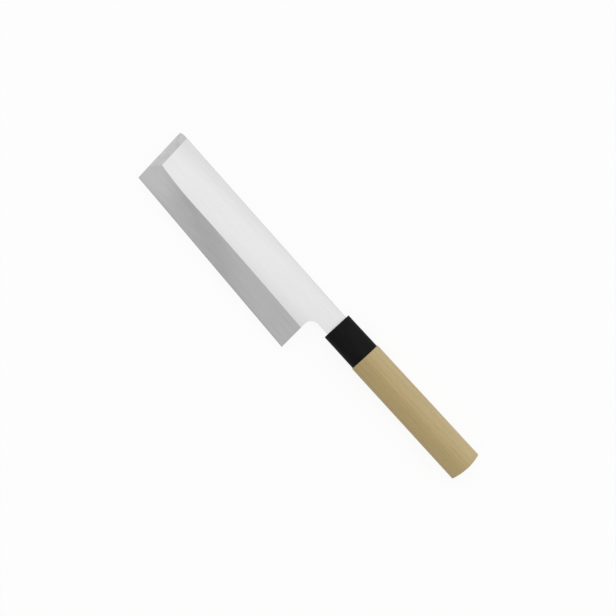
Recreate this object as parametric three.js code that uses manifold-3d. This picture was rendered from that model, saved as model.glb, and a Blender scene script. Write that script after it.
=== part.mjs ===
// A usuba, the Japanese vegetable knife: a single-bevel blade with a stick tang, set in a wooden
// handle of D section with a moulded ferrule.
//
// Millimetres and degrees. +X runs from the tip to the butt, +Y from the edge to the spine and
// +Z out of the bevelled right face, so the knife lies on its left side. Every piece is drawn from
// one datum: X 0 is the front face of the ferrule, and the handle's axis runs along Y 0, Z 0.
import * as THREE from "three";
import { mergeVertices } from "three/addons/utils/BufferGeometryUtils.js";
import Module from "manifold-3d";

// Blade, as seen from the right. Heights and depths are measured from the handle's axis.
const bladeLength = 180; // ferrule face to the spine corner of the tip, before it is eased
const spineHeightAtTip = 12.4;
const spineHeightAtFerrule = 9.3;
const edgeDepthAtTip = 32.9;
const edgeDepthAtHeel = 39.4;
const tipRake = 3.5; // how far the tip's edge corner lies behind its spine corner
const cornerEaseAlong = 4.5; // quarter ellipse that eases the spine corner of the tip
const cornerEaseDown = 1.8;
const heelSetback = 15.8; // ferrule face to the heel corner
const heelLean = 2.5; // degrees that the heel leans to the tip as it rises
const neckDepth = 8.9; // underside of the neck
const choilRadius = 6.5; // fillet between heel and neck

// Blade thickness and grinds.
const neckThickness = 3.2; // spine at the ferrule, and root of the tang
const tipThickness = 2.7; // spine at the tip
const bevelWidth = 20.1; // wide bevel at the heel, from its ridge line to the edge
const bevelUpturn = 1.7; // how far the ridge line turns up to the spine before it meets the tip bevel
const bevelUpturnLength = 21;
const bevelFootThickness = 0.2; // where the wide bevel ends, over the edge
const microBevelWidth = 0.45;
const edgeThickness = 0.06;
const tipBevelWidth = 6.5;
const tipBevelDepth = 1.1;
const spineChamfer = 0.4;
const hollowDepth = 0.4; // hollow of the left face
const hollowRimAtEdge = 2.5; // flat rims that the hollow leaves
const hollowRimAtSpine = 4.5;
const hollowRimAtEnds = 4;

// Tang, and the resin that beds it in the handle.
const tangLength = 95;
const tangRootHeight = 10;
const tangEndHeight = 6;
const tangEndThickness = 2;
const resinThickness = 0.8;
const castGap = 0.15; // between the resin and what it is cast against

// Ferrule.
const ferruleLength = 30.3;
const ferruleHeightFront = 23.6;
const ferruleHeightBack = 23.9;
const ferruleWidthFront = 18;
const ferruleWidthBack = 18.3;
const ferruleWall = 2.4;
const tenonGap = 0.2; // between the handle's tenon and the ferrule's bore

// Handle, from the ferrule's back to the crown of the butt.
const handleLength = 140; // ferrule face to the crown of the butt
const handleHeightFront = 25.2;
const handleHeightButt = 25.7;
const handleWidthFront = 19.4;
const handleWidthButt = 20.4;
const buttRadius = 42; // crown of the butt
const edgeBreak = 0.5; // broken edges of ferrule and handle

// D section: a superellipse whose right half comes to a soft ridge and whose left half fills the palm.
const ridgePower = 1.45;
const palmPower = 2.2;
const sectionSides = 64;
const arcSegments = 12;

const overlap = 1; // how far a cutter or a joined piece runs past the face that it meets
const blockSize = 4 * (bladeLength + handleLength); // larger than the knife, from any point of it

const wasm = await Module();
wasm.setup();

// A closed geometry as a solid that can be joined and cut.
function solidOf(geometry) {
  const bare = geometry.clone();
  bare.deleteAttribute("normal");
  bare.deleteAttribute("uv");
  const merged = mergeVertices(bare);
  return new wasm.Manifold(
    new wasm.Mesh({
      numProp: 3,
      vertProperties: new Float32Array(merged.attributes.position.array),
      triVerts: new Uint32Array(merged.index.array),
    }),
  );
}

// A solid's skin as a geometry.
function geometryOf(solid) {
  const mesh = solid.getMesh();
  const geometry = new THREE.BufferGeometry();
  geometry.setAttribute("position", new THREE.BufferAttribute(mesh.vertProperties, 3));
  geometry.setIndex(new THREE.BufferAttribute(mesh.triVerts, 1));
  geometry.computeVertexNormals();
  return geometry;
}

// A block on the outward side of the plane through three points, to grind a face flat.
function grindBlock(a, b, c, outward) {
  const along = b.clone().sub(a).normalize();
  const normal = along.clone().cross(c.clone().sub(a)).normalize();
  if (normal.dot(outward) < 0) normal.negate();
  const across = normal.clone().cross(along);
  const block = new THREE.BoxGeometry(blockSize, blockSize, blockSize);
  block.translate(0, 0, blockSize / 2);
  block.applyMatrix4(new THREE.Matrix4().makeBasis(along, across, normal).setPosition(a));
  return solidOf(block);
}

// A plate of the given outline and thickness, with its middle plane on the handle's axis.
function plate(shape, thickness) {
  const geometry = new THREE.ExtrudeGeometry(shape, {
    depth: thickness,
    bevelEnabled: false,
    curveSegments: arcSegments,
  });
  return solidOf(geometry.translate(0, 0, -thickness / 2));
}

const centreOf = (ring) =>
  ring.reduce((sum, point) => sum.add(point), new THREE.Vector3()).divideScalar(ring.length);

// A closed skin over rings of points, which turn about +X and follow each other towards +X, with a fan
// of faces at either end.
function loft(rings, endPoint = centreOf(rings.at(-1))) {
  const sides = rings[0].length;
  const points = rings.flat();
  const faces = [];
  for (let r = 0; r + 1 < rings.length; r++) {
    for (let k = 0; k < sides; k++) {
      const here = r * sides + k;
      const next = r * sides + ((k + 1) % sides);
      faces.push(here, next, here + sides, next, next + sides, here + sides);
    }
  }
  const first = points.push(centreOf(rings[0])) - 1;
  const last = points.push(endPoint) - 1;
  const lastRing = (rings.length - 1) * sides;
  for (let k = 0; k < sides; k++) {
    const next = (k + 1) % sides;
    faces.push(first, next, k, last, lastRing + k, lastRing + next);
  }
  const geometry = new THREE.BufferGeometry().setFromPoints(points);
  return solidOf(geometry.setIndex(faces));
}

// A ring of the D section. xAt gives the place of each of its points along the handle.
function dRing(height, width, xAt) {
  return Array.from({ length: sectionSides }, (_, k) => {
    const turn = (2 * Math.PI * k) / sectionSides;
    const power = Math.sin(turn) > 0 ? ridgePower : palmPower;
    const rise = Math.cos(turn);
    const y = (height / 2) * Math.sign(rise) * Math.abs(rise) ** (2 / power);
    const z = (width / 2) * Math.sin(turn);
    return new THREE.Vector3(xAt(y, z), y, z);
  });
}

// Blade: corners of its right face, which lies in the plane that tapers from neck to tip.
const backZ = -neckThickness / 2;
const faceZ = (x) =>
  THREE.MathUtils.mapLinear(x, 0, -bladeLength, neckThickness, tipThickness) + backZ;
const onFace = (x, y, sunk = 0) => new THREE.Vector3(x, y, faceZ(x) - sunk);
const spineHeight = (x) =>
  THREE.MathUtils.mapLinear(x, 0, -bladeLength, spineHeightAtFerrule, spineHeightAtTip);
const tipSpine = new THREE.Vector2(-bladeLength, spineHeightAtTip);
const tipEdge = new THREE.Vector2(tipRake - bladeLength, -edgeDepthAtTip);
const heel = new THREE.Vector2(-heelSetback, -edgeDepthAtHeel);
const lean = THREE.MathUtils.degToRad(heelLean);
const heelAt = (y) => heel.x - (y - heel.y) * Math.tan(lean);

// The outline runs along the edge, up the heel and round the choil to the shoulder, where the neck meets
// the ferrule, and back along the spine to its eased corner and down the tip.
function bladeOutline() {
  const choilY = -neckDepth - choilRadius;
  const rise = (choilY - heel.y - choilRadius * Math.sin(lean)) / Math.cos(lean);
  const choilX = heel.x - rise * Math.sin(lean) + choilRadius * Math.cos(lean);
  const outline = new THREE.Shape();
  outline.moveTo(tipEdge.x, tipEdge.y);
  outline.lineTo(heel.x, heel.y);
  outline.absarc(choilX, choilY, choilRadius, Math.PI + lean, Math.PI / 2, true);
  outline.lineTo(0, -neckDepth);
  outline.lineTo(0, spineHeightAtFerrule);
  const alongSpine = new THREE.Vector2(0, spineHeightAtFerrule).sub(tipSpine).setLength(cornerEaseAlong);
  const downTip = tipEdge.clone().sub(tipSpine).setLength(cornerEaseDown);
  for (let k = 0; k <= arcSegments; k++) {
    const turn = (Math.PI * k) / (2 * arcSegments);
    const point = tipSpine.clone();
    point.addScaledVector(alongSpine, 1 - Math.sin(turn)).addScaledVector(downTip, 1 - Math.cos(turn));
    outline.lineTo(point.x, point.y);
  }
  return outline;
}

// The tang, grown on every side by the layers that surround it, from the given start to its round end.
function tangSolid(grown, start) {
  const rootHalf = tangRootHeight / 2 + grown;
  const endHalf = tangEndHeight / 2 + grown;
  const endCentre = tangLength - tangEndHeight / 2;
  const outline = new THREE.Shape();
  outline.moveTo(start, rootHalf);
  outline.lineTo(start, -rootHalf);
  outline.lineTo(0, -rootHalf);
  outline.absarc(endCentre, 0, endHalf, -Math.PI / 2, Math.PI / 2, false);
  outline.lineTo(0, rootHalf);
  const rootZ = neckThickness / 2 + grown;
  const endZ = tangEndThickness / 2 + grown;
  let tang = plate(outline, 2 * rootZ);
  for (const side of [1, -1]) {
    const root = new THREE.Vector3(0, 0, side * rootZ);
    const end = new THREE.Vector3(tangLength, 0, side * endZ);
    const beside = new THREE.Vector3(0, 1, side * rootZ);
    tang = tang.subtract(grindBlock(root, end, beside, new THREE.Vector3(0, 0, side)));
  }
  return tang;
}

// The hollow of the left face: deepest along its middle, running out to flat rims all round.
function hollowCutter() {
  const steps = { along: 24, across: 10 };
  const heelSpine = new THREE.Vector2(heelAt(spineHeightAtFerrule), spineHeight(heel.x));
  const edgeLength = heel.distanceTo(tipEdge);
  const endRim = hollowRimAtEnds / edgeLength;
  const rings = [];
  for (let i = 0; i <= steps.along; i++) {
    const along = i / steps.along;
    const place = THREE.MathUtils.lerp(endRim, 1 - endRim, along);
    const low = tipEdge.clone().lerp(heel, place);
    const high = tipSpine.clone().lerp(heelSpine, place);
    const width = low.distanceTo(high);
    const fade = 1 - (2 * along - 1) ** 8;
    const roof = [];
    for (let j = 0; j <= steps.across; j++) {
      const across = j / steps.across;
      const share = THREE.MathUtils.lerp(hollowRimAtEdge / width, 1 - hollowRimAtSpine / width, across);
      const point = low.clone().lerp(high, share);
      const depth = hollowDepth * fade * (1 - (2 * across - 1) ** 2);
      roof.push(new THREE.Vector3(point.x, point.y, backZ + depth));
    }
    const floor = roof.map((p) => new THREE.Vector3(p.x, p.y, backZ - overlap));
    rings.push([...floor, ...roof.reverse()]);
  }
  return loft(rings);
}

// The blade with its tang: one plate, ground flat by flat.
function makeBlade() {
  const up = new THREE.Vector3(0, 0, 1);
  const down = new THREE.Vector3(0, 0, -1);
  const atEdge = (corner, height) => new THREE.Vector3(corner.x, corner.y, backZ + height);
  const spineEnds = [-bladeLength, 0];

  // The wide bevel runs from its foot along the edge to the ridge line, where it meets the right face.
  const foot = [tipEdge, heel].map((corner) => atEdge(corner, bevelFootThickness));
  const ridgeAtHeel = heel.y + bevelWidth;
  const bevel = [...foot, onFace(heelAt(ridgeAtHeel), ridgeAtHeel)];
  const bevelPlane = new THREE.Plane().setFromCoplanarPoints(...bevel);
  const bevelHeight = (x, y) => -(bevelPlane.normal.dot(new THREE.Vector3(x, y, 0)) + bevelPlane.constant)
    / bevelPlane.normal.z;
  const ridgeY = (x) => -(bevelPlane.normal.dot(onFace(x, 0)) + bevelPlane.constant) / bevelPlane.normal.y;
  const microY = heel.y + microBevelWidth;
  const microTop = new THREE.Vector3(heel.x, microY, bevelHeight(heel.x, microY));

  // The tip bevel runs along the tip, and the ridge line turns up to it.
  const tipInner = (corner) => onFace(corner.x + tipBevelWidth, corner.y);
  const tipAt = (y) => THREE.MathUtils.mapLinear(y, tipSpine.y, tipEdge.y, tipSpine.x, tipEdge.x);
  const upturnEndX = tipAt(ridgeY(tipSpine.x)) + tipBevelWidth;
  const upturnStartX = upturnEndX + bevelUpturnLength;
  const upturnStart = onFace(upturnStartX, ridgeY(upturnStartX));
  const upturnEnd = onFace(upturnEndX, ridgeY(upturnEndX) + bevelUpturn);

  const grinds = [
    grindBlock(onFace(tipSpine.x, 0), onFace(0, 0), onFace(0, 1), up),
    grindBlock(...bevel, up),
    grindBlock(upturnStart, upturnEnd, foot[0], up),
    grindBlock(atEdge(tipEdge, edgeThickness), atEdge(heel, edgeThickness), microTop, up),
    grindBlock(tipInner(tipSpine), tipInner(tipEdge), onFace(tipSpine.x, tipSpine.y, tipBevelDepth), up),
    grindBlock(
      ...spineEnds.map((x) => onFace(x, spineHeight(x), spineChamfer)),
      onFace(0, spineHeight(0) - spineChamfer),
      up,
    ),
    grindBlock(
      ...spineEnds.map((x) => new THREE.Vector3(x, spineHeight(x), backZ + spineChamfer)),
      new THREE.Vector3(0, spineHeight(0) - spineChamfer, backZ),
      down,
    ),
    hollowCutter(),
  ];
  const blank = plate(bladeOutline(), neckThickness).add(tangSolid(0, -overlap));
  return grinds.reduce((blade, grind) => blade.subtract(grind), blank);
}

// Layers round the tang: a thin gap, the resin, a thin gap, and then the wall of the socket.
const resinInside = castGap;
const resinOutside = resinInside + resinThickness;
const socketWall = resinOutside + castGap;

function makeResin() {
  return tangSolid(resinOutside, 0).subtract(tangSolid(resinInside, -overlap));
}

// The ferrule is a sleeve over the handle's tenon, with a broken edge at the front.
const boreHeight = ferruleHeightFront - 2 * ferruleWall;
const boreWidth = ferruleWidthFront - 2 * ferruleWall;

function makeFerrule() {
  const sleeve = loft([
    dRing(ferruleHeightFront - 2 * edgeBreak, ferruleWidthFront - 2 * edgeBreak, () => 0),
    dRing(ferruleHeightFront, ferruleWidthFront, () => edgeBreak),
    dRing(ferruleHeightBack, ferruleWidthBack, () => ferruleLength),
  ]);
  const bore = loft([
    dRing(boreHeight, boreWidth, () => -overlap),
    dRing(boreHeight, boreWidth, () => ferruleLength + overlap),
  ]);
  return sleeve.subtract(bore);
}

// The handle: a tenon through the ferrule, a shoulder that the ferrule seats on, a body that swells
// to the butt and a crowned end, with a socket for the tang.
function makeHandle() {
  const crownAt = (y, z) => handleLength - buttRadius + Math.sqrt(buttRadius ** 2 - y ** 2 - z ** 2);
  const shrunk = (height, width, by, xAt) => dRing(height - 2 * by, width - 2 * by, xAt);
  const crownRings = [0.75, 0.5, 0.25].map((share) =>
    dRing(handleHeightButt * share, handleWidthButt * share, crownAt),
  );
  const bodyRings = [
    shrunk(handleHeightFront, handleWidthFront, edgeBreak, () => ferruleLength),
    dRing(handleHeightFront, handleWidthFront, () => ferruleLength + edgeBreak),
    dRing(handleHeightButt, handleWidthButt, (y, z) => crownAt(y, z) - edgeBreak),
    shrunk(handleHeightButt, handleWidthButt, edgeBreak, crownAt),
    ...crownRings,
  ];
  const body = loft(bodyRings, new THREE.Vector3(handleLength, 0, 0));
  const tenonHeight = boreHeight - 2 * tenonGap;
  const tenonWidth = boreWidth - 2 * tenonGap;
  const tenon = loft([
    dRing(tenonHeight, tenonWidth, () => 0),
    dRing(tenonHeight, tenonWidth, () => ferruleLength + overlap),
  ]);
  return body.add(tenon).subtract(tangSolid(socketWall, -overlap));
}

// Finishes.
const steel = new THREE.MeshStandardMaterial({ color: "#d9d9d9", metalness: 1, roughness: 0.3 });
const resin = new THREE.MeshStandardMaterial({ color: "#3a2c1e", metalness: 0, roughness: 0.5 });
const blackPlastic = new THREE.MeshStandardMaterial({ color: "#1c1c1c", metalness: 0, roughness: 0.45 });
const magnolia = new THREE.MeshStandardMaterial({ color: "#b7a277", metalness: 0, roughness: 0.65 });

const pieces = [
  ["blade", makeBlade(), steel],
  ["tang_resin", makeResin(), resin],
  ["ferrule", makeFerrule(), blackPlastic],
  ["handle", makeHandle(), magnolia],
];

const knife = new THREE.Group();
for (const [name, solid, material] of pieces) {
  const mesh = new THREE.Mesh(geometryOf(solid), material);
  mesh.name = name;
  knife.add(mesh);
}

// The knife's own origin lies on the surface below it, under the middle of its bounding box.
const box = new THREE.Box3().setFromObject(knife);
const middle = box.getCenter(new THREE.Vector3());
knife.position.set(-middle.x, -middle.y, -box.min.z);

const usuba = new THREE.Group();
usuba.add(knife);

export default usuba;
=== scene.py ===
import math

import bmesh
import bpy
import numpy as np
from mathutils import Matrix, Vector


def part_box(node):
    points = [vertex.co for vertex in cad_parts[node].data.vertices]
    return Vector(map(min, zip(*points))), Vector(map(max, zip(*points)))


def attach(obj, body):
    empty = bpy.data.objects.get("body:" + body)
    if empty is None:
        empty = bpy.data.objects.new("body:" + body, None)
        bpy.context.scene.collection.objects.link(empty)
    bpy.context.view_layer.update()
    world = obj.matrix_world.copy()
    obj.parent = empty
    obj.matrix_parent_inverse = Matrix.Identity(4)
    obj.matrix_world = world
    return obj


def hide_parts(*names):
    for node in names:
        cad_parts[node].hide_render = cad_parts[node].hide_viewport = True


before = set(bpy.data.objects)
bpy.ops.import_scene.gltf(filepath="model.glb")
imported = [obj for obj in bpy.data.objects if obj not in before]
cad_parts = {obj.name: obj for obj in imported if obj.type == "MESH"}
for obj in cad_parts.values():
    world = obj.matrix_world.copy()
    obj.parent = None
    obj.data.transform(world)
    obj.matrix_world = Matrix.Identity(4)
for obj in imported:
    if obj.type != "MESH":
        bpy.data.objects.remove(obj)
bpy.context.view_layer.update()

mm = 0.001
tinyShare = 1e-9  # a share of a length that only rounding brings about

# Datum of the knife, read from the frame: X 0 is the ferrule's front face, and the handle's axis runs
# along Y 0, Z 0. Every piece is worked out in millimetres from it.
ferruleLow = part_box("ferrule")[0]
resinLow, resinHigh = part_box("tang_resin")
datum = np.array([ferruleLow.x, (resinLow.y + resinHigh.y) / 2, (resinLow.z + resinHigh.z) / 2])
print("frame loaded, datum at", np.round(datum / mm, 3), "mm")


# Grids and meshes

meshing = {
    "mergeWithin": 0.002,  # points this close, in millimetres, become one
    "collapseUnder": 0.0005,  # edges shorter than this drop out
    "roundSteps": 6,  # steps round an eased edge
    "cosineShare": 0.65,  # how far grid lines crowd towards the ends of their span
}


# A share of the way from a start to an end.
def mix(start, end, share):
    return start + (end - start) * share


# Shares from 0 to 1 that crowd towards both ends: even shares, mixed with half of one minus the cosine
# of a half turn.
def crowded(steps):
    even = np.linspace(0, 1, steps + 1)
    return mix(even, (1 - np.cos(math.pi * even)) / 2, meshing["cosineShare"])


# Angles of an eased edge, even from nothing to a quarter turn.
def quarterTurns():
    return np.linspace(0, math.pi / 2, meshing["roundSteps"] + 1)


# Places between key lines: each span between two keys is split into its own number of crowded steps.
# keys has one row for each key line, and a column for each station along it.
def spread(keys, steps):
    spans = [
        mix(low, high, crowded(count)[:-1, None])
        for low, high, count in zip(keys[:-1], keys[1:], steps)
    ]
    return np.concatenate(spans + [keys[-1:]])


# Quads between neighbouring rows and columns of a grid; a closed direction joins its last line to its
# first.
def gridQuads(rows, columns, closedRows=False, closedColumns=False):
    row = np.arange(rows if closedRows else rows - 1)[:, None]
    column = np.arange(columns if closedColumns else columns - 1)[None, :]
    below = (row + 1) % rows
    beside = (column + 1) % columns
    corners = [
        row * columns + column, below * columns + column,
        below * columns + beside, row * columns + beside,
    ]
    return np.stack(np.broadcast_arrays(*corners), axis=-1).reshape(-1, 4)


# Edges that part two finishes: the lowest and the highest finish round the edge differ.
def finishBorders(mesh):
    finishes = np.zeros(len(mesh.polygons), np.int32)
    corners = np.zeros(len(mesh.polygons), np.int32)
    edges = np.zeros(len(mesh.loops), np.int32)
    mesh.polygons.foreach_get("material_index", finishes)
    mesh.polygons.foreach_get("loop_total", corners)
    mesh.loops.foreach_get("edge_index", edges)
    lowest = np.full(len(mesh.edges), len(mesh.materials))
    highest = np.full(len(mesh.edges), -1)
    np.minimum.at(lowest, edges, np.repeat(finishes, corners))
    np.maximum.at(highest, edges, np.repeat(finishes, corners))
    return lowest != highest


# One object from surfaces, each a grid of points in millimetres with its quads and their finishes.
# Points that coincide are merged, collapsed quads drop out and the faces are turned outwards.
# Edges are crisp where they turn by more than the sharp angle, and where two finishes meet.
def makePiece(name, surfaces, materials, sharpAngle):
    points = []
    quads = []
    finishes = []
    count = 0
    for grid, faces, finish in surfaces:
        points.append(grid.reshape(-1, 3))
        quads.append(faces + count)
        finishes.append(np.broadcast_to(finish, len(faces)))
        count += points[-1].shape[0]
    mesh = bpy.data.meshes.new(name)
    mesh.from_pydata((np.concatenate(points) * mm + datum).tolist(), [], np.concatenate(quads).tolist())
    for material in materials:
        mesh.materials.append(material)
    mesh.polygons.foreach_set("material_index", np.concatenate(finishes).astype(np.int32))
    shell = bmesh.new()
    shell.from_mesh(mesh)
    bmesh.ops.remove_doubles(shell, verts=shell.verts, dist=meshing["mergeWithin"] * mm)
    bmesh.ops.dissolve_degenerate(shell, edges=shell.edges, dist=meshing["collapseUnder"] * mm)
    bmesh.ops.recalc_face_normals(shell, faces=shell.faces)
    shell.to_mesh(mesh)
    shell.free()
    mesh.polygons.foreach_set("use_smooth", np.ones(len(mesh.polygons), dtype=bool))
    mesh.set_sharp_from_angle(angle=math.radians(sharpAngle))
    crisp = np.zeros(len(mesh.edges), bool)
    mesh.edges.foreach_get("use_edge_sharp", crisp)
    mesh.edges.foreach_set("use_edge_sharp", crisp | finishBorders(mesh))
    piece = bpy.data.objects.new(name, mesh)
    bpy.context.collection.objects.link(piece)
    print("made", name, "with", len(mesh.polygons), "faces")
    return piece


# Node helpers

# A material with its nodes and its shader.
def newMaterial(name):
    material = bpy.data.materials.new(name)
    material.use_nodes = True
    tree = material.node_tree
    return material, tree, tree.nodes["Principled BSDF"]


# Adds a node; inputs are numbers, colours or the sockets that feed them, by name or place.
def addNode(tree, kind, inputs=None, **settings):
    node = tree.nodes.new(kind)
    for key, value in settings.items():
        setattr(node, key, value)
    for key, value in (inputs or {}).items():
        if isinstance(value, bpy.types.NodeSocket):
            tree.links.new(value, node.inputs[key])
        else:
            node.inputs[key].default_value = value
    return node


# Object coordinates, turned, moved and scaled to waves for each metre.
def objectCoords(tree, scale=(1, 1, 1), turn=(0, 0, 0), shift=(0, 0, 0)):
    coords = addNode(tree, "ShaderNodeTexCoord")
    inputs = {"Vector": coords.outputs["Object"], "Scale": scale, "Rotation": turn, "Location": shift}
    return addNode(tree, "ShaderNodeMapping", inputs).outputs["Vector"]


# Noise from 0 to 1, most of which lies near a half.
def noise(tree, vector, scale=1.0, detail=2.0, roughness=0.5):
    inputs = {"Vector": vector, "Scale": scale, "Detail": detail, "Roughness": roughness}
    return addNode(tree, "ShaderNodeTexNoise", inputs).outputs["Fac"]


# Carries a value over from one range to another, and holds it inside that.
def mapRange(tree, value, fromLow, fromHigh, toLow, toHigh, ease="LINEAR"):
    inputs = {
        "Value": value,
        "From Min": fromLow,
        "From Max": fromHigh,
        "To Min": toLow,
        "To Max": toHigh,
    }
    return addNode(tree, "ShaderNodeMapRange", inputs, interpolation_type=ease).outputs["Result"]


# Spreads the middle of a noise, as far as the reach to either side of a half, over a range.
def fromNoise(tree, value, toLow, toHigh, reach=0.2):
    return mapRange(tree, value, 0.5 - reach, 0.5 + reach, toLow, toHigh)


# One step of arithmetic on sockets and numbers.
def calculate(tree, operation, first, second=0.0):
    return addNode(tree, "ShaderNodeMath", {0: first, 1: second}, operation=operation).outputs["Value"]


# Mix of two colours; the Mix node's colour sockets are its seventh and eighth.
def mixColour(tree, share, first, second, blend="MIX"):
    inputs = {0: share, 6: first, 7: second}
    return addNode(tree, "ShaderNodeMix", inputs, data_type="RGBA", blend_type=blend).outputs[2]


def grey(level):
    return (level, level, level, 1)


# A grey tone, scaled by a shade that varies over the surface.
def shadedGrey(tree, tone, shade):
    inputs = {0: grey(tone)[:3], "Scale": shade}
    return addNode(tree, "ShaderNodeVectorMath", inputs, operation="SCALE").outputs["Vector"]


# Fine relief from a height, with its depth in millimetres.
def addRelief(tree, shader, height, depth, strength):
    inputs = {"Height": height, "Strength": strength, "Distance": depth * mm}
    bump = addNode(tree, "ShaderNodeBump", inputs)
    tree.links.new(bump.outputs["Normal"], shader.inputs["Normal"])


# Blade

blade = {
    "length": 180.0,  # ferrule face to the spine corner of the tip, before it is eased
    "spineAtTip": 12.4,
    "spineAtFerrule": 9.3,
    "edgeAtTip": -32.9,
    "edgeAtHeel": -39.4,
    "tipRake": 3.5,
    "cornerEaseAlong": 4.5,  # quarter ellipse that eases the spine corner of the tip
    "cornerEaseDown": 1.8,
    "heelSetback": 15.8,
    "heelLean": 2.5,  # degrees
    "neckUnderside": -8.9,
    "choilRadius": 6.5,
    "neckThickness": 3.2,
    "tipThickness": 2.7,
    "bevelWidth": 20.1,
    "upturn": 1.7,  # rise of the ridge line as it nears the tip bevel
    "upturnLength": 33.0,
    "ridgeWaver": 0.28,  # how far the ridge line strays from straight, over half a wave
    "waverLength": 90.0,
    "footThickness": 0.2,  # bevel's foot, over the edge
    "microBevelWidth": 0.45,
    "edgeThickness": 0.06,
    "tipBevelWidth": 6.5,
    "tipBevelDepth": 1.1,
    "spineRound": 0.4,
    "hollowDepth": 0.4,
    "hollowPowers": (8, 2),  # how evenly deep the hollow is along the blade and across it
    "hollowCorner": 9.0,
    "rimAtEdge": 2.5,
    "rimAtSpine": 4.5,
    "rimAtEnds": 4.0,
    "tangLength": 95.0,
    "tangRootHeight": 10.0,
    "tangEndHeight": 6.0,
    "tangEndThickness": 2.0,
    "tangEndTurn": 80.0,  # degrees that the tang's end is rounded through before it is blunt
    "sharpAngle": 30.0,
    # grid lines in each span
    "steps": {
        "tip": [10, 10],  # end of the tip to the hollow's rim and to the inside of the tip bevel
        "body": [30, 90, 8],  # ridge line's upturn, its long part and the heel's rim
        "low": [4, 8, 46, 14],  # edge to micro bevel, rim, ridge line and choil
        "high": [10, 30, 12],  # choil to the tang's lower line, upper rim and spine
        "choil": 18,
        "neck": 8,
        "tang": 24,
        "tangEnd": 11,
    },
    # finishes in the order of their material slots: the turn of the grind lines is in degrees, their
    # pitch, length and relief and the clouds' length and height are in millimetres, and the depths say
    # how far lines and clouds shade the tone
    "finishes": {
        "steelFace": {
            "tone": 0.703, "roughness": 0.24, "lineTurn": 0, "linePitch": 0.45, "lineLength": 30,
            "relief": 0.0016, "lineDepth": 0.06, "cloudDepth": 0.012, "cloudSize": (71, 22),
        },
        "steelBevel": {
            "tone": 0.58, "roughness": 0.34, "lineTurn": 0, "linePitch": 0.40, "lineLength": 18,
            "relief": 0.0030, "lineDepth": 0.08, "cloudDepth": 0.025, "cloudSize": (71, 22),
        },
        "steelEdges": {
            "tone": 0.62, "roughness": 0.32, "lineTurn": 0, "linePitch": 0.30, "lineLength": 12,
            "relief": 0.0020, "lineDepth": 0.06, "cloudDepth": 0.02, "cloudSize": (71, 22),
        },
        "steelBack": {
            "tone": 0.64, "roughness": 0.24, "lineTurn": 0, "linePitch": 0.35, "lineLength": 30,
            "relief": 0.0014, "lineDepth": 0.05, "cloudDepth": 0.015, "cloudSize": (71, 22),
        },
        "steelTang": {
            "tone": 0.34, "roughness": 0.55, "lineTurn": 90, "linePitch": 0.60, "lineLength": 2.4,
            "relief": 0.0200, "lineDepth": 0.20, "cloudDepth": 0.12, "cloudSize": (71, 22),
        },
        "steelTip": {
            "tone": 0.55, "roughness": 0.34, "lineTurn": 86, "linePitch": 0.60, "lineLength": 18,
            "relief": 0.0030, "lineDepth": 0.10, "cloudDepth": 0.08, "cloudSize": (7, 5),
        },
        "steelHoned": {
            "tone": 0.62, "roughness": 0.18, "lineTurn": 0, "linePitch": 0.20, "lineLength": 18,
            "relief": 0.0010, "lineDepth": 0.05, "cloudDepth": 0.015, "cloudSize": (71, 22),
        },
        "steelHollow": {
            "tone": 0.57, "roughness": 0.33, "lineTurn": 0, "linePitch": 0.45, "lineLength": 24,
            "relief": 0.0034, "lineDepth": 0.09, "cloudDepth": 0.03, "cloudSize": (71, 22),
        },
    },
    "roughnessReach": 0.04,  # how far the grind lines vary the roughness
    # painted reflections: broad lighter and darker drifts of the tone about a line on the blade, painted
    # as if the steel
    # mirrored brighter or dimmer light: a point of the line and its turn, how far to either side the
    # drift starts and ends, and the tone on the line and away from it
    "paintedLightDrifts": {
        "steelFace": [
            # painted reflection: a bright band along the middle of the face, and darker towards the
            # ferrule
            {"point": (-95, -4.9), "turn": 2.7, "start": 4.2, "end": 20.2, "onLine": 1, "away": 0.89},
            {"point": (5, 0), "turn": 90, "start": 3.2, "end": 93.7, "onLine": 0.96, "away": 1},
        ],
        "steelBevel": [
            # painted reflection: a dark diagonal streak across the bevel, and lighter towards the tip
            {"point": (-96, -31.5), "turn": -22.3, "start": 1.7, "end": 17.3, "onLine": 0.892, "away": 1},
            {"point": (-175, -25), "turn": 90, "start": 5, "end": 35, "onLine": 1.095, "away": 1},
        ],
    },
}


# Painted reflection: a smooth drift of a tone with the distance from a line on the blade.
def paintedLightShade(tree, paintedLightDrift):
    turn = math.radians(paintedLightDrift["turn"])
    x, y = datum[:2] + np.array(paintedLightDrift["point"]) * mm
    offset = x * math.sin(turn) - y * math.cos(turn)
    coords = objectCoords(tree, turn=(0, 0, -turn), shift=(0, offset, 0))
    parts = addNode(tree, "ShaderNodeSeparateXYZ", {0: coords})
    away = calculate(tree, "ABSOLUTE", parts.outputs["Y"])
    reach = (paintedLightDrift["start"] * mm, paintedLightDrift["end"] * mm)
    return mapRange(tree, away, *reach, paintedLightDrift["onLine"], paintedLightDrift["away"], "SMOOTHSTEP")
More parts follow.
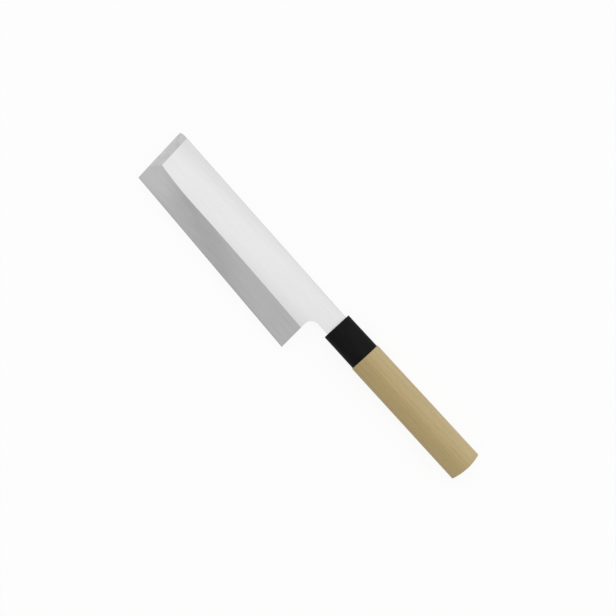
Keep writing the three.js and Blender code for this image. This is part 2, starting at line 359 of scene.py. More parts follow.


# Steel with grind lines: a noise drawn out along the lines shades the tone, the gloss and a fine relief,
# and a broad noise lets the tone vary over the face; painted reflections lighten and darken the tone in
# broad bands.
def makeSteel(name, finish, roughnessReach, paintedLightDrifts):
    material, tree, shader = newMaterial(name)
    pitch = finish["linePitch"] * mm
    inputs = {
        "Vector": addNode(tree, "ShaderNodeTexCoord").outputs["Object"],
        "Rotation": (0, 0, math.radians(finish["lineTurn"])),
        "Scale": (finish["lineLength"] * mm, pitch, pitch),
    }
    drawnOut = addNode(tree, "ShaderNodeMapping", inputs, vector_type="TEXTURE").outputs["Vector"]
    lines = noise(tree, drawnOut, detail=5, roughness=0.65)
    cloudLength, cloudHeight = finish["cloudSize"]
    cloudScale = (1 / (cloudLength * mm), 1 / (cloudHeight * mm), 1 / (cloudHeight * mm))
    clouds = noise(tree, objectCoords(tree, cloudScale), detail=3, roughness=0.55)
    lineShade = fromNoise(tree, lines, 1 - finish["lineDepth"], 1 + finish["lineDepth"])
    cloudShade = fromNoise(tree, clouds, 1 - finish["cloudDepth"], 1 + finish["cloudDepth"])
    shade = calculate(tree, "MULTIPLY", lineShade, cloudShade)
    # painted reflections: the tone is lightened and darkened about lines on the blade
    for paintedLightDrift in paintedLightDrifts:
        shade = calculate(tree, "MULTIPLY", shade, paintedLightShade(tree, paintedLightDrift))
    tree.links.new(shadedGrey(tree, finish["tone"], shade), shader.inputs["Base Color"])
    smoothest = finish["roughness"] - roughnessReach
    roughest = finish["roughness"] + roughnessReach
    roughness = fromNoise(tree, lines, smoothest, roughest, reach=0.25)
    tree.links.new(roughness, shader.inputs["Roughness"])
    addRelief(tree, shader, lines, finish["relief"], strength=1.0)
    shader.inputs["Metallic"].default_value = 1.0
    return material


# Draws a square's corner in to a quarter circle: the larger of a point's two shares over the root of the
# sum of their squares is what both shares are scaled by.
def drawnIn(inEnd, inSide):
    return np.maximum(inEnd, inSide) / np.maximum(np.hypot(inEnd, inSide), tinyShare)


# Right and left skins of the blade's body, from the tip to the heel, and of its neck and its tang.
# A point of the body lies at a share of the line that runs from the edge to the spine at its station.
# Its right skin is a fine bevel at the edge, the ruled wide bevel up to the ridge line, and above that
# the flat face, which the tip bevel lowers. Its left skin is flat but for a hollow, which is a parabola
# across the blade and nearly even along it.
def makeBlade(spec):
    steps = spec["steps"]
    back = -spec["neckThickness"] / 2
    foot = back + spec["footThickness"]
    tipSpine = np.array([-spec["length"], spec["spineAtTip"]])
    tipEdge = np.array([spec["tipRake"] - spec["length"], spec["edgeAtTip"]])
    heel = np.array([-spec["heelSetback"], spec["edgeAtHeel"]])

    # right face: the thickness falls evenly from the neck to the tip
    def faceAt(x):
        return back + mix(spec["neckThickness"], spec["tipThickness"], -x / spec["length"])

    # spine: a straight line from the ferrule to the tip
    def spineAt(x):
        return mix(spec["spineAtFerrule"], spec["spineAtTip"], -x / spec["length"])

    # heel line carried up to the spine, and the choil's arc that leaves it for the neck
    lean = math.radians(spec["heelLean"])
    upHeel = np.array([-math.sin(lean), math.cos(lean)])
    spineSlope = (spec["spineAtTip"] - spec["spineAtFerrule"]) / -spec["length"]
    heelRise = (spineAt(heel[0]) - heel[1]) / (upHeel[1] - spineSlope * upHeel[0])
    heelSpine = heel + heelRise * upHeel
    choilY = spec["neckUnderside"] - spec["choilRadius"]
    choilRise = (choilY - heel[1] - spec["choilRadius"] * math.sin(lean)) / math.cos(lean)
    choilX = heel[0] - choilRise * math.sin(lean) + spec["choilRadius"] * math.cos(lean)
    choilShare = choilRise / heelRise

    # point at a share along the blade and a share up the line from the edge to the spine
    def plan(shareAlong, shareUp):
        lowAt = mix(tipEdge, heel, shareAlong[:, :, None])
        highAt = mix(tipSpine, heelSpine, shareAlong[:, :, None])
        return mix(lowAt, highAt, shareUp[:, :, None])

    # stations along the body
    edgeLength = np.linalg.norm(heel - tipEdge)
    upturnStart = (spec["tipBevelWidth"] + spec["upturnLength"]) / edgeLength
    tipShare = spec["tipBevelWidth"] / edgeLength
    endRim = spec["rimAtEnds"] / edgeLength
    stationKeys = np.array([0, endRim, tipShare, upturnStart, 1 - endRim, 1])
    station = spread(stationKeys[:, None], steps["tip"] + steps["body"])[:, 0]
    low = mix(tipEdge, heel, station[:, None])
    high = mix(tipSpine, heelSpine, station[:, None])
    height = np.linalg.norm(high - low, axis=1)

    # ridge line: where the bevel's plane, which rises from its foot, reaches the right face, with its
    # upturn and its waver; along the tip it follows the crease between the wide bevel and the tip bevel
    along = (heel - tipEdge) / edgeLength
    across = np.array([-along[1], along[0]])
    ridgeAtHeel = heel + upHeel * spec["bevelWidth"] / upHeel[1]
    steep = (faceAt(ridgeAtHeel[0]) - foot) / ((ridgeAtHeel - tipEdge) @ across)
    faceLow = faceAt(low[:, 0])
    faceHigh = faceAt(high[:, 0])
    ridge = (faceLow - foot) / (steep * (high - tipEdge) @ across - faceHigh + faceLow)
    nearTip = np.clip((upturnStart - station) / (upturnStart - tipShare), 0, None)
    pastUpturn = np.clip(station - upturnStart, 0, None) * edgeLength
    waver = spec["ridgeWaver"] * np.sin(math.pi * pastUpturn / spec["waverLength"])
    ridge = ridge + (spec["upturn"] * nearTip ** 2 + waver) / height
    bevelRise = (faceAt(mix(low[:, 0], high[:, 0], ridge)) - foot) / ridge
    ridge = ridge - spec["tipBevelDepth"] * np.clip(1 - station / tipShare, 0, None) / bevelRise

    # rows across the body, at key lines shared with the neck and the tang
    tangHalf = spec["tangRootHeight"] / 2
    neckHeight = spec["spineAtFerrule"] - spec["neckUnderside"]
    tangLow = (-tangHalf - spec["neckUnderside"]) / neckHeight
    tangHigh = (tangHalf - spec["neckUnderside"]) / neckHeight
    micro = spec["microBevelWidth"] / height
    rimLow = spec["rimAtEdge"] / height
    rimHigh = 1 - spec["rimAtSpine"] / height
    roundStart = 1 - spec["spineRound"] / height
    even = np.ones_like(station)
    tangRootLow = mix(choilShare, 1, tangLow) * even
    bodyKeys = np.array([
        0 * even, micro, rimLow, ridge, choilShare * even, tangRootLow, rimHigh, roundStart,
    ])
    share = spread(bodyKeys, steps["low"] + steps["high"])
    microRow = steps["low"][0]
    ridgeRow = sum(steps["low"][:3])
    choilRow = sum(steps["low"])
    tangRows = slice(steps["high"][0], sum(steps["high"][:2]) + 1)

    # the spine's rounded corner: rows turn through a quarter circle
    turn = quarterTurns()[1:]
    share = np.concatenate([share, 1 - (spec["spineRound"] / height) * (1 - np.sin(turn))[:, None]])
    flatRows = share.shape[0] - len(turn)
    drop = np.concatenate([np.zeros(flatRows), spec["spineRound"] * (1 - np.cos(turn))])[:, None]

    # the eased corner: points of the corner's box are drawn in until its outer sides lie on the ellipse
    easeAlong = spec["cornerEaseAlong"] / edgeLength
    easeDown = spec["cornerEaseDown"] / height
    inEnd = np.clip(1 - station / easeAlong, 0, None)[None, :]
    inSpine = np.clip(1 - (1 - share) / easeDown, 0, None)
    drawn = drawnIn(inEnd, inSpine)
    eased = (inEnd > 0) & (inSpine > 0)
    alongEased = np.where(eased, (1 - inEnd * drawn) * easeAlong, station[None, :])
    acrossEased = np.where(eased, 1 - (1 - inSpine * drawn) * easeDown, share)

    # right skin: micro bevel, wide bevel, and above the ridge line the face with its tip bevel
    xy = plan(alongEased, acrossEased)
    face = faceAt(xy[:, :, 0]) - spec["tipBevelDepth"] * np.clip(1 - alongEased / tipShare, 0, None)
    bevel = foot + bevelRise * share
    microFace = mix(back + spec["edgeThickness"], foot + bevelRise * micro, share / micro)
    right = np.where(share < micro, microFace, np.where(share < ridge, bevel, face)) - drop
    bodyRight = np.dstack([xy, right])

    # left skin: its hollow, whose points near the round corners are drawn in towards its middle
    alongHollow = np.clip((station - endRim) / (1 - 2 * endRim), 0, 1)
    acrossHollow = np.clip((share - rimLow) / (rimHigh - rimLow), 0, 1)
    powerAlong, powerAcross = spec["hollowPowers"]
    depthAlong = 1 - (2 * alongHollow - 1) ** powerAlong
    depthAcross = 1 - (2 * acrossHollow - 1) ** powerAcross
    left = back + spec["hollowDepth"] * depthAlong * depthAcross + drop
    fromEnd = np.minimum(alongHollow, 1 - alongHollow) * (1 - 2 * endRim) * edgeLength
    fromSide = np.minimum(acrossHollow, 1 - acrossHollow) * (rimHigh - rimLow) * height
    inEnd = np.clip(1 - fromEnd / spec["hollowCorner"], 0, None)[None, :]
    inSide = np.clip(1 - fromSide / spec["hollowCorner"], 0, None)
    withinEnds = (station >= endRim - tinyShare) & (station <= 1 - endRim + tinyShare)
    withinSides = (share >= rimLow - tinyShare) & (share <= rimHigh + tinyShare)
    pulled = np.where(withinEnds & withinSides, spec["hollowCorner"] * (1 - drawnIn(inEnd, inSide)), 0)
    alongLeft = alongEased + pulled * inEnd * np.sign(0.5 - alongHollow) / edgeLength
    acrossLeft = acrossEased + pulled * inSide * np.sign(0.5 - acrossHollow) / height
    bodyLeft = np.dstack([plan(alongLeft, acrossLeft), left])

    # neck: from the heel line and the choil's arc to the ferrule face; its stations follow the length of
    # its underside
    arc = np.linspace(math.pi + lean, math.pi / 2, steps["choil"] + 1)
    arcX = choilX + spec["choilRadius"] * np.cos(arc)
    arcY = choilY + spec["choilRadius"] * np.sin(arc)
    runX = choilX * (1 - np.linspace(0, 1, steps["neck"] + 1)[1:])
    runY = np.full_like(runX, spec["neckUnderside"])
    neckLow = np.column_stack([np.concatenate([arcX, runX]), np.concatenate([arcY, runY])])
    walked = np.concatenate([[0], np.cumsum(np.linalg.norm(np.diff(neckLow, axis=0), axis=1))])
    neckStation = walked / walked[-1]
    neckX = mix(heelSpine[0], 0, neckStation)
    neckHigh = np.column_stack([neckX, spineAt(neckX)])
    neckRise = np.linalg.norm(neckHigh - neckLow, axis=1)
    rimAtHeel = (rimHigh[-1] - choilShare) / (1 - choilShare)
    neckRound = 1 - spec["spineRound"] / neckRise
    neckMiddle = mix(rimAtHeel, tangHigh, neckStation)
    neckKeys = np.array([0 * neckStation, tangLow + 0 * neckStation, neckMiddle, neckRound])
    neckShare = spread(neckKeys, steps["high"])
    roundShare = 1 - (spec["spineRound"] / neckRise) * (1 - np.sin(turn))[:, None]
    neckShare = np.concatenate([neckShare, roundShare])
    neckXy = mix(neckLow[None], neckHigh[None], neckShare[:, :, None])
    neckDrop = drop[choilRow:]
    neckRight = np.dstack([neckXy, faceAt(neckXy[:, :, 0]) - neckDrop])
    neckLeft = np.dstack([neckXy, back + neckDrop + 0 * neckShare])

    # tang: tapers in height and thickness to a rounded blunt end
    endHalf = spec["tangEndHeight"] / 2
    endTurn = np.linspace(0, math.radians(spec["tangEndTurn"]), steps["tangEnd"] + 1)
    straight = (spec["tangLength"] - endHalf) * np.linspace(0, 1, steps["tang"] + 1)[:-1]
    tangX = np.concatenate([straight, spec["tangLength"] - endHalf * (1 - np.sin(endTurn))])
    taper = mix(tangHalf, endHalf, straight / (spec["tangLength"] - endHalf))
    tangRise = np.concatenate([taper, endHalf * np.cos(endTurn)])
    tangRow = neckRight[tangRows, -1, 1] / tangHalf
    tangY = tangRow[:, None] * tangRise
    tangZ = mix(spec["neckThickness"], spec["tangEndThickness"], tangX / spec["tangLength"]) / 2
    tangRight = np.dstack([tangX + 0 * tangY, tangY, tangZ + 0 * tangY])
    tangLeft = tangRight * np.array([1, 1, -1])

    # a skin is a grid with its quads, and a wall joins two lines of points
    def skin(grid, finish):
        return grid, gridQuads(*grid.shape[:2]), finish

    def wall(upper, lower, finish):
        return skin(np.stack([upper, lower]), finish)

    # which finish each quad of the skins has
    slot = {name: place for place, name in enumerate(spec["finishes"])}
    edges = slot["steelEdges"]
    tang = slot["steelTang"]
    rows = np.arange(share.shape[0] - 1)[:, None]
    atTip = (np.arange(len(station) - 1) < sum(steps["tip"]))[None, :]
    roundRows = rows >= flatRows - 1
    upperFinish = np.where(roundRows, edges, np.where(atTip, slot["steelTip"], slot["steelFace"]))
    lowerFinish = np.where(rows < microRow, slot["steelHoned"], slot["steelBevel"])
    bodyFinish = np.where(rows < ridgeRow, lowerFinish, upperFinish).reshape(-1)
    neckColumns = np.ones((1, len(neckStation) - 1), bool)
    neckRounded = (roundRows[choilRow:] & neckColumns).reshape(-1)
    neckFinish = np.where(neckRounded, edges, slot["steelFace"])
    neckBackFinish = np.where(neckRounded, edges, slot["steelBack"])
    inHollow = (acrossHollow[1:, :-1] > 0) & (acrossHollow[:-1, 1:] < 1)
    inHollow = inHollow & ((alongHollow[1:] > 0) & (alongHollow[:-1] < 1))[None, :]
    backFinish = np.where(inHollow, slot["steelHollow"], slot["steelBack"])
    backFinish = np.where(roundRows, edges, backFinish).reshape(-1)

    # in two quarters of the hollow the quads start one corner on, so that they split towards its round
    # corners
    backQuads = gridQuads(*bodyLeft.shape[:2])
    crossed = (acrossHollow[:-1, :-1] < 0.5) != (alongHollow[:-1] < 0.5)[None, :]
    crossed = crossed.reshape(-1)
    backQuads[crossed] = np.roll(backQuads[crossed], 1, axis=1)

    lowShoulder = slice(0, tangRows.start + 1)
    highShoulder = slice(tangRows.stop - 1, None)
    surfaces = [
        skin(bodyRight, bodyFinish),
        (bodyLeft, backQuads, backFinish),
        skin(neckRight, neckFinish),
        skin(neckLeft, neckBackFinish),
        skin(tangRight, tang),
        skin(tangLeft, tang),
        wall(bodyRight[:, 0], bodyLeft[:, 0], edges),
        wall(bodyRight[0], bodyLeft[0], slot["steelHoned"]),
        wall(bodyRight[-1], bodyLeft[-1], edges),
        wall(bodyRight[:choilRow + 1, -1], bodyLeft[:choilRow + 1, -1], edges),
        wall(neckRight[0], neckLeft[0], edges),
        wall(neckRight[-1], neckLeft[-1], edges),
        wall(neckRight[lowShoulder, -1], neckLeft[lowShoulder, -1], tang),
        wall(neckRight[highShoulder, -1], neckLeft[highShoulder, -1], tang),
        wall(tangRight[0], tangLeft[0], tang),
        wall(tangRight[-1], tangLeft[-1], tang),
        wall(tangRight[:, -1], tangLeft[:, -1], tang),
    ]
    materials = [
        makeSteel(name, finish, spec["roughnessReach"], spec["paintedLightDrifts"].get(name, []))
        for name, finish in spec["finishes"].items()
    ]
    piece = makePiece("bladeSteel", surfaces, materials, spec["sharpAngle"])
    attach(piece, "root")
    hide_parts("blade")


# Handle and ferrule

handle = {
    "length": 140.0,  # ferrule face to the crown of the butt
    "heightFront": 25.2,
    "heightButt": 25.7,
    "widthFront": 19.4,
    "widthButt": 20.4,
    "buttRadius": 42.0,
    "edgeBreak": 0.5,
    "tenonGap": 0.2,
    "tenonBreak": 0.3,
    "socketWall": 1.1,  # room round the tang for the resin
    "sharpAngle": 40.0,
    "steps": {"crown": 14, "body": 40, "socketEnd": 8},
    "tones": [(0.516, 0.395, 0.185), (0.426, 0.316, 0.139), (0.26, 0.18, 0.085)],  # pale, dark and pores
    "ringPitch": 2.4,
    "pith": (-70.0, -46.0),  # Y and Z of the tree's middle from the handle's axis
    "latePlace": 0.86,  # place in one ring where the wood is darkest
    "ringDepths": (0.0, 0.75, 0.15),  # how dark it is where the ring starts, there and where it ends
    "bendScale": (5, 38, 38),  # scales are in waves for each metre along the handle and across it
    "bend": 0.9,  # how many rings the bends reach to either side
    "fibreScale": (22, 1700, 1700),
    "poreScale": (170, 3600, 3600),
    "cloudScale": (9, 60, 60),
    "ringShare": 0.3,  # how much of the dark tone the rings, fibres and clouds bring
    "fibreShares": (-0.35, 0.55),
    "cloudShares": (-0.1, 0.25),
    "poreNoise": (0.6, 0.74),  # noise between which a pore sets in
    "poreShare": 0.5,
    "paintedSheenRadii": (90.7, 95.0),  # radii from the pith between which the painted sheen sets in, on the flank at the spine's side
    "sapTint": (1.05, 1.09, 1.24, 1),  # how the painted sheen pales and cools the tone
    "endShade": 0.8,  # how dark the end grain is beside the sides
    "roughness": (0.52, 0.66),
    "relief": 0.03,
    "reliefStrength": 0.6,
    "specular": 0.42,
}

ferrule = {
    "length": 30.3,
    "heightFront": 23.6,
    "heightBack": 23.9,
    "widthFront": 18.0,
    "widthBack": 18.3,
    "wall": 2.4,
    "edgeBreak": 0.45,
    "backBreak": 0.15,
    "boreBreak": 0.25,
    "sharpAngle": 40.0,
    "steps": 24,
    "tone": 0.0086,
    "grainScale": 5200,
    "flowScale": (60, 260, 260),
    "flowShades": (0.85, 1.2),
    "roughness": (0.44, 0.56),
    "relief": 0.006,
    "reliefStrength": 0.5,
    "specular": 0.05,
}

section = {
    "ridgePower": 1.45,  # right half of the D, a soft ridge
    "palmPower": 2.2,  # left half, fuller than an ellipse
    "slotPower": 48,  # nearly square corners of the tang's socket
    "sides": 192,  # points round a ring
}
ringTurns = np.linspace(0, 2 * math.pi, section["sides"], endpoint=False)[None, :]


# Raises the size of a number to a power and keeps its sign.
def signedPower(numbers, power):
    return np.sign(numbers) * np.abs(numbers) ** power


# Closed rings, one for each x: half its height times the ring's rise, and half its width times its reach.
def makeRings(x, height, width, rise, reach):
    y = np.asarray(height)[:, None] / 2 * rise
    z = np.asarray(width)[:, None] / 2 * reach
    return np.dstack([np.asarray(x)[:, None] + 0 * y, y, z])


# D section: height times the cosine raised to two over a power, and width times the sine. The right
# half's power makes a soft ridge and the left half's fills the palm.
def dRings(x, height, width):
    power = np.where(np.sin(ringTurns) > 0, section["ridgePower"], section["palmPower"])
    return makeRings(x, height, width, signedPower(np.cos(ringTurns), 2 / power), np.sin(ringTurns))


# Slot section with nearly square corners: a superellipse of high power.
def slotRings(x, height, width):
    power = 2 / section["slotPower"]
    rise = signedPower(np.cos(ringTurns), power)
    reach = signedPower(np.sin(ringTurns), power)
    return makeRings(x, height, width, rise, reach)


# A pole: a ring drawn in to one point.
def poleRing(x):
    return np.broadcast_to(np.array([x, 0, 0], float), (1, section["sides"], 3))


# Straight-grained pale wood: growth rings about a distant pith, bent a little by noise, a painted sheen
# that pales the flank on the spine's side, and fine fibres and short pores drawn out along the handle.
def makeWood(name, spec, shade):
    material, tree, shader = newMaterial(name)
    pale, dark, pore = [(*(np.array(tone) * shade), 1) for tone in spec["tones"]]
    pith = [-datum[0], -datum[1] - spec["pith"][0] * mm, -datum[2] - spec["pith"][1] * mm]
    coords = objectCoords(tree, shift=pith)
    bends = noise(tree, objectCoords(tree, spec["bendScale"]))
    parts = addNode(tree, "ShaderNodeSeparateXYZ", {0: coords})
    flat = addNode(tree, "ShaderNodeCombineXYZ", {1: parts.outputs["Y"], 2: parts.outputs["Z"]})
    measure = addNode(tree, "ShaderNodeVectorMath", {0: flat.outputs[0]}, operation="LENGTH")
    radius = measure.outputs["Value"]
    rings = calculate(tree, "MULTIPLY", radius, 1 / (spec["ringPitch"] * mm))
    rings = calculate(tree, "ADD", rings, fromNoise(tree, bends, -spec["bend"], spec["bend"]))
    ramp = addNode(tree, "ShaderNodeValToRGB", {"Fac": calculate(tree, "FRACT", rings)})
    ramp.color_ramp.interpolation = "EASE"
    first, late, last = spec["ringDepths"]
    ramp.color_ramp.elements[0].color = grey(first)
    ramp.color_ramp.elements[1].color = grey(last)
    ramp.color_ramp.elements.new(spec["latePlace"]).color = grey(late)
    fibres = noise(tree, objectCoords(tree, spec["fibreScale"]), detail=4, roughness=0.6)
    pores = noise(tree, objectCoords(tree, spec["poreScale"]))
    clouds = noise(tree, objectCoords(tree, spec["cloudScale"]), detail=3)
    share = calculate(tree, "MULTIPLY", ramp.outputs["Color"], spec["ringShare"])
    share = calculate(tree, "ADD", share, fromNoise(tree, fibres, *spec["fibreShares"]))
    share = calculate(tree, "ADD", share, fromNoise(tree, clouds, *spec["cloudShares"]))
    toned = mixColour(tree, share, pale, dark)
    # painted sheen: the flank on the spine's side, farthest from the pith, is paled and cooled as if it
    # caught light
    sheenStart, sheenFull = spec["paintedSheenRadii"]
    paintedSheenShare = mapRange(tree, radius, sheenStart * mm, sheenFull * mm, 0.0, 1.0, "SMOOTHSTEP")
    toned = mixColour(tree, paintedSheenShare, toned, spec["sapTint"], "MULTIPLY")
    poreShare = mapRange(tree, pores, *spec["poreNoise"], 0.0, spec["poreShare"])
    toned = mixColour(tree, poreShare, toned, pore)
    tree.links.new(toned, shader.inputs["Base Color"])
    tree.links.new(fromNoise(tree, fibres, *spec["roughness"]), shader.inputs["Roughness"])
    grain = calculate(tree, "SUBTRACT", fibres, poreShare)
    addRelief(tree, shader, grain, spec["relief"], spec["reliefStrength"])
    shader.inputs["Specular IOR Level"].default_value = spec["specular"]
    return material


# Handle: rings run from the crown's pole over the butt and along the body to the shoulder, out along the
# tenon and back down the tang's socket to a second pole.
def makeHandle(spec, sleeve, tang):
    steps = spec["steps"]
    turn = quarterTurns()
    inset = spec["edgeBreak"] * (1 - np.cos(turn))
    setback = spec["edgeBreak"] * (1 - np.sin(turn))

    # the butt's crown is part of a sphere that each ring is carried out to
    def crowned(rings, behind):
        y = rings[:, :, 1]
        z = rings[:, :, 2]
        x = spec["length"] - spec["buttRadius"] + np.sqrt(spec["buttRadius"] ** 2 - y ** 2 - z ** 2)
        return np.dstack([x - np.asarray(behind)[:, None], y, z])

    crownHeight = spec["heightButt"] - 2 * spec["edgeBreak"]
    crownWidth = spec["widthButt"] - 2 * spec["edgeBreak"]
    shares = np.linspace(0, 1, steps["crown"] + 1)[1:-1]
    crown = crowned(dRings(0 * shares, crownHeight * shares, crownWidth * shares), 0 * shares)
    buttRings = dRings(0 * inset, spec["heightButt"] - 2 * inset, spec["widthButt"] - 2 * inset)
    buttRim = crowned(buttRings, setback)[::-1]
    seat = sleeve["length"]
    shoulder = dRings(seat + setback, spec["heightFront"] - 2 * inset, spec["widthFront"] - 2 * inset)
    body = mix(buttRim[-1:], shoulder[:1], crowded(steps["body"])[1:-1, None, None])
    boreHeight = sleeve["heightFront"] - 2 * sleeve["wall"]
    boreWidth = sleeve["widthFront"] - 2 * sleeve["wall"]
    tenonX = np.array([seat, spec["tenonBreak"], spec["tenonBreak"] / 3, 0])
    tenonIn = 2 * (spec["tenonGap"] + np.array([0, 0, spec["tenonBreak"] / 3, spec["tenonBreak"]]))
    tenon = dRings(tenonX, boreHeight - tenonIn, boreWidth - tenonIn)

    # the socket follows the tang, grown by the resin's room
    grown = spec["socketWall"]
    endHalf = tang["tangEndHeight"] / 2 + grown
    endCentre = tang["tangLength"] - tang["tangEndHeight"] / 2
    endTurn = np.linspace(0, math.pi / 2, steps["socketEnd"] + 1)[:-1]
    socketX = np.concatenate([[0], endCentre + endHalf * np.sin(endTurn)])
    socketHeight = np.concatenate([[tang["tangRootHeight"] + 2 * grown], 2 * endHalf * np.cos(endTurn)])
    tangWidth = mix(tang["neckThickness"], tang["tangEndThickness"], socketX / tang["tangLength"])
    socket = slotRings(socketX, socketHeight, tangWidth + 2 * grown)
    crownPole = poleRing(spec["length"])
    socketPole = poleRing(endCentre + endHalf)
    rings = np.concatenate([crownPole, crown, buttRim, body, shoulder, tenon, socket, socketPole])
    quads = gridQuads(*rings.shape[:2], closedColumns=True)

    # end grain on the crown and on the tenon's end
    endGrain = np.zeros(len(rings) - 1, int)
    endGrain[:len(crown) + 1] = 1
    endGrain[-len(socket) - 1] = 1
    finishes = np.repeat(endGrain, section["sides"])
    materials = [makeWood("paleWood", spec, 1.0), makeWood("paleEndGrain", spec, spec["endShade"])]
    piece = makePiece("handleWood", [(rings, quads, finishes)], materials, spec["sharpAngle"])
    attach(piece, "root")
    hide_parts("handle")


# Moulded black plastic: a fine even grain on the gloss and relief, and faint flow marks along the sleeve.
def makePlastic(spec):
    material, tree, shader = newMaterial("blackPlastic")
    grain = noise(tree, objectCoords(tree), spec["grainScale"], roughness=0.6)
    flow = noise(tree, objectCoords(tree, spec["flowScale"]), detail=3, roughness=0.55)
    shade = fromNoise(tree, flow, *spec["flowShades"])
    tree.links.new(shadedGrey(tree, spec["tone"], shade), shader.inputs["Base Color"])
    tree.links.new(fromNoise(tree, grain, *spec["roughness"]), shader.inputs["Roughness"])
    addRelief(tree, shader, grain, spec["relief"], spec["reliefStrength"])
    shader.inputs["Specular IOR Level"].default_value = spec["specular"]
    return material


# Ferrule: rings run along the outside from the front to the back, and home again through the bore.
def makeFerrule(spec):
    turn = quarterTurns()
    inset = spec["edgeBreak"] * (1 - np.sin(turn))
    front = spec["edgeBreak"] * (1 - np.cos(turn))
    run = crowded(spec["steps"])[1:]
    runX = mix(spec["edgeBreak"], spec["length"] - spec["backBreak"], run)
    outX = np.concatenate([front, runX, [spec["length"]]])
    outIn = np.concatenate([inset, 0 * run, [spec["backBreak"]]])
    grow = outX / spec["length"]
    outHeight = mix(spec["heightFront"], spec["heightBack"], grow) - 2 * outIn
    outWidth = mix(spec["widthFront"], spec["widthBack"], grow) - 2 * outIn
    boreX = np.array([spec["length"], spec["boreBreak"], 0])
    boreOut = 2 * np.array([0, 0, spec["boreBreak"]])
    boreHeight = spec["heightFront"] - 2 * spec["wall"] + boreOut
    boreWidth = spec["widthFront"] - 2 * spec["wall"] + boreOut
    rings = np.concatenate([dRings(outX, outHeight, outWidth), dRings(boreX, boreHeight, boreWidth)])
    quads = gridQuads(*rings.shape[:2], closedRows=True, closedColumns=True)
    piece = makePiece("ferruleSleeve", [(rings, quads, 0)], [makePlastic(spec)], spec["sharpAngle"])
    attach(piece, "root")
    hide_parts("ferrule")


# Resin

resin = {
    "tones": [(0.030, 0.019, 0.010, 1), (0.062, 0.040, 0.021, 1)],
    "cloudScale": 420,
    "cloudReach": 0.15,
    "roughness": (0.35, 0.5),
}


# Dark cast resin: brown, clouded by noise, with a satin skin.
def makeResin(spec):
    material, tree, shader = newMaterial("beddingResin")
    clouds = noise(tree, objectCoords(tree), spec["cloudScale"], detail=3, roughness=0.55)
    share = fromNoise(tree, clouds, 0.0, 1.0, spec["cloudReach"])
    tree.links.new(mixColour(tree, share, *spec["tones"]), shader.inputs["Base Color"])
    roughness = fromNoise(tree, clouds, *spec["roughness"], spec["cloudReach"])
    tree.links.new(roughness, shader.inputs["Roughness"])
    return material


makeBlade(blade)
makeFerrule(ferrule)
makeHandle(handle, ferrule, blade)
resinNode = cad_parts["tang_resin"]
resinMaterial = makeResin(resin)
for place in range(len(resinNode.material_slots)):
    resinNode.material_slots[place].material = resinMaterial
print("resin finished")


# Stage, light and camera

stage = {
    "floorSize": 16.0,
    "floorTone": 0.96,
    "whiteShare": 0.9,  # how much of the floor the camera sees as plain white
    "worldLevel": 0.78,
    "worldTilt": 0.33,  # how much brighter the world is on the spine's side, and darker on the edge's
}

# the degrees from overhead that the softbox spans towards the spine's side, its half width in degrees,
# its distance in metres and its radiance
softbox = {"from": -8.0, "to": 24.0, "halfTurn": 34.0, "distance": 1.9, "radiance": 0.42}

view = {
    "aim": (-23.7, -6.3, 1.3),  # point that the picture's middle looks at
    "turn": 47.46,  # degrees that the knife runs down to the right
    "imageWidth": 446.0,
    "lens": 200.0,
    "sensor": 36.0,
    "clipEnd": 50.0,
}


# Floor: matt and pale, mostly plain white where it is seen or mirrored, and clear from below.
def makeFloor(spec):
    mesh = bpy.data.meshes.new("floor")
    half = spec["floorSize"] / 2
    corners = [(-half, -half, 0), (half, -half, 0), (half, half, 0), (-half, half, 0)]
    mesh.from_pydata(corners, [], [(0, 1, 2, 3)])
    material, tree, shader = newMaterial("paleFloor")
    tree.nodes.remove(shader)
    matt = addNode(tree, "ShaderNodeBsdfDiffuse", {"Color": grey(spec["floorTone"])})
    white = addNode(tree, "ShaderNodeEmission", {"Color": grey(1.0), "Strength": 1.0})
    path = addNode(tree, "ShaderNodeLightPath")
    seen = calculate(tree, "ADD", path.outputs["Is Camera Ray"], path.outputs["Is Glossy Ray"])
    seen = calculate(tree, "ADD", seen, path.outputs["Is Transmission Ray"])
    share = calculate(tree, "MULTIPLY", seen, spec["whiteShare"])
    mixed = addNode(tree, "ShaderNodeMixShader", {0: share, 1: matt.outputs[0], 2: white.outputs[0]})
    clear = addNode(tree, "ShaderNodeBsdfTransparent")
    under = addNode(tree, "ShaderNodeNewGeometry").outputs["Backfacing"]
    oneSided = addNode(tree, "ShaderNodeMixShader", {0: under, 1: mixed.outputs[0], 2: clear.outputs[0]})
    tree.links.new(oneSided.outputs[0], tree.nodes["Material Output"].inputs["Surface"])
    mesh.materials.append(material)
    floor = bpy.data.objects.new("floor", mesh)
    bpy.context.collection.objects.link(floor)


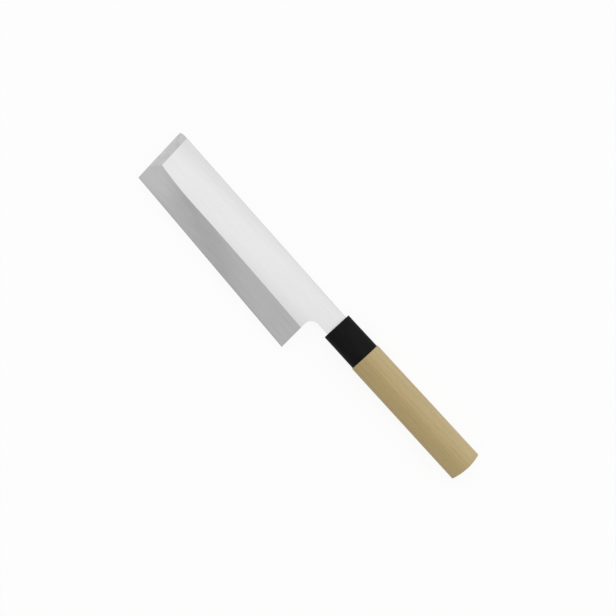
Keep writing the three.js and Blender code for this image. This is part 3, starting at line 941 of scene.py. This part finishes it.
# World: an even grey that brightens by the sine of the direction towards the spine's side.
def makeWorld(spec):
    world = bpy.data.worlds.new("studio")
    world.use_nodes = True
    tree = world.node_tree
    coords = addNode(tree, "ShaderNodeTexCoord")
    parts = addNode(tree, "ShaderNodeSeparateXYZ", {0: coords.outputs["Generated"]})
    lowest = spec["worldLevel"] - spec["worldTilt"]
    highest = spec["worldLevel"] + spec["worldTilt"]
    level = mapRange(tree, parts.outputs["Y"], -1.0, 1.0, lowest, highest)
    tree.links.new(level, tree.nodes["Background"].inputs["Strength"])
    tree.nodes["Background"].inputs["Color"].default_value = grey(1.0)
    bpy.context.scene.world = world


# Softbox: a lamp that faces the knife and spans the given angles over its spine side.
def makeSoftbox(name, spec):
    lean = math.radians((spec["from"] + spec["to"]) / 2)
    halfLean = math.radians((spec["to"] - spec["from"]) / 2)
    lamp = bpy.data.lights.new(name, "AREA")
    lamp.shape = "RECTANGLE"
    lamp.size = 2 * spec["distance"] * math.tan(math.radians(spec["halfTurn"]))
    lamp.size_y = 2 * spec["distance"] * math.tan(halfLean)
    lamp.energy = spec["radiance"] * math.pi * lamp.size * lamp.size_y
    box = bpy.data.objects.new(name, lamp)
    box.location = np.array([0, math.sin(lean), math.cos(lean)]) * spec["distance"]
    box.rotation_euler = (-lean, 0, 0)
    box.visible_camera = False
    bpy.context.collection.objects.link(box)


# Camera: straight above its aim, as far off as its lens needs for the width of the picture.
def makeCamera(spec):
    lens = bpy.data.cameras.new("camera")
    lens.lens = spec["lens"]
    lens.sensor_width = spec["sensor"]
    lens.clip_end = spec["clipEnd"]
    camera = bpy.data.objects.new("camera", lens)
    distance = spec["imageWidth"] * mm * spec["lens"] / spec["sensor"]
    camera.location = datum + np.array(spec["aim"]) * mm + np.array([0, 0, distance])
    camera.rotation_euler = (0, 0, math.radians(spec["turn"]))
    bpy.context.collection.objects.link(camera)
    bpy.context.scene.camera = camera


makeFloor(stage)
makeWorld(stage)
makeSoftbox("overheadBox", softbox)
makeCamera(view)
bpy.context.scene.view_settings.view_transform = "Standard"
print("stage, light and camera set")
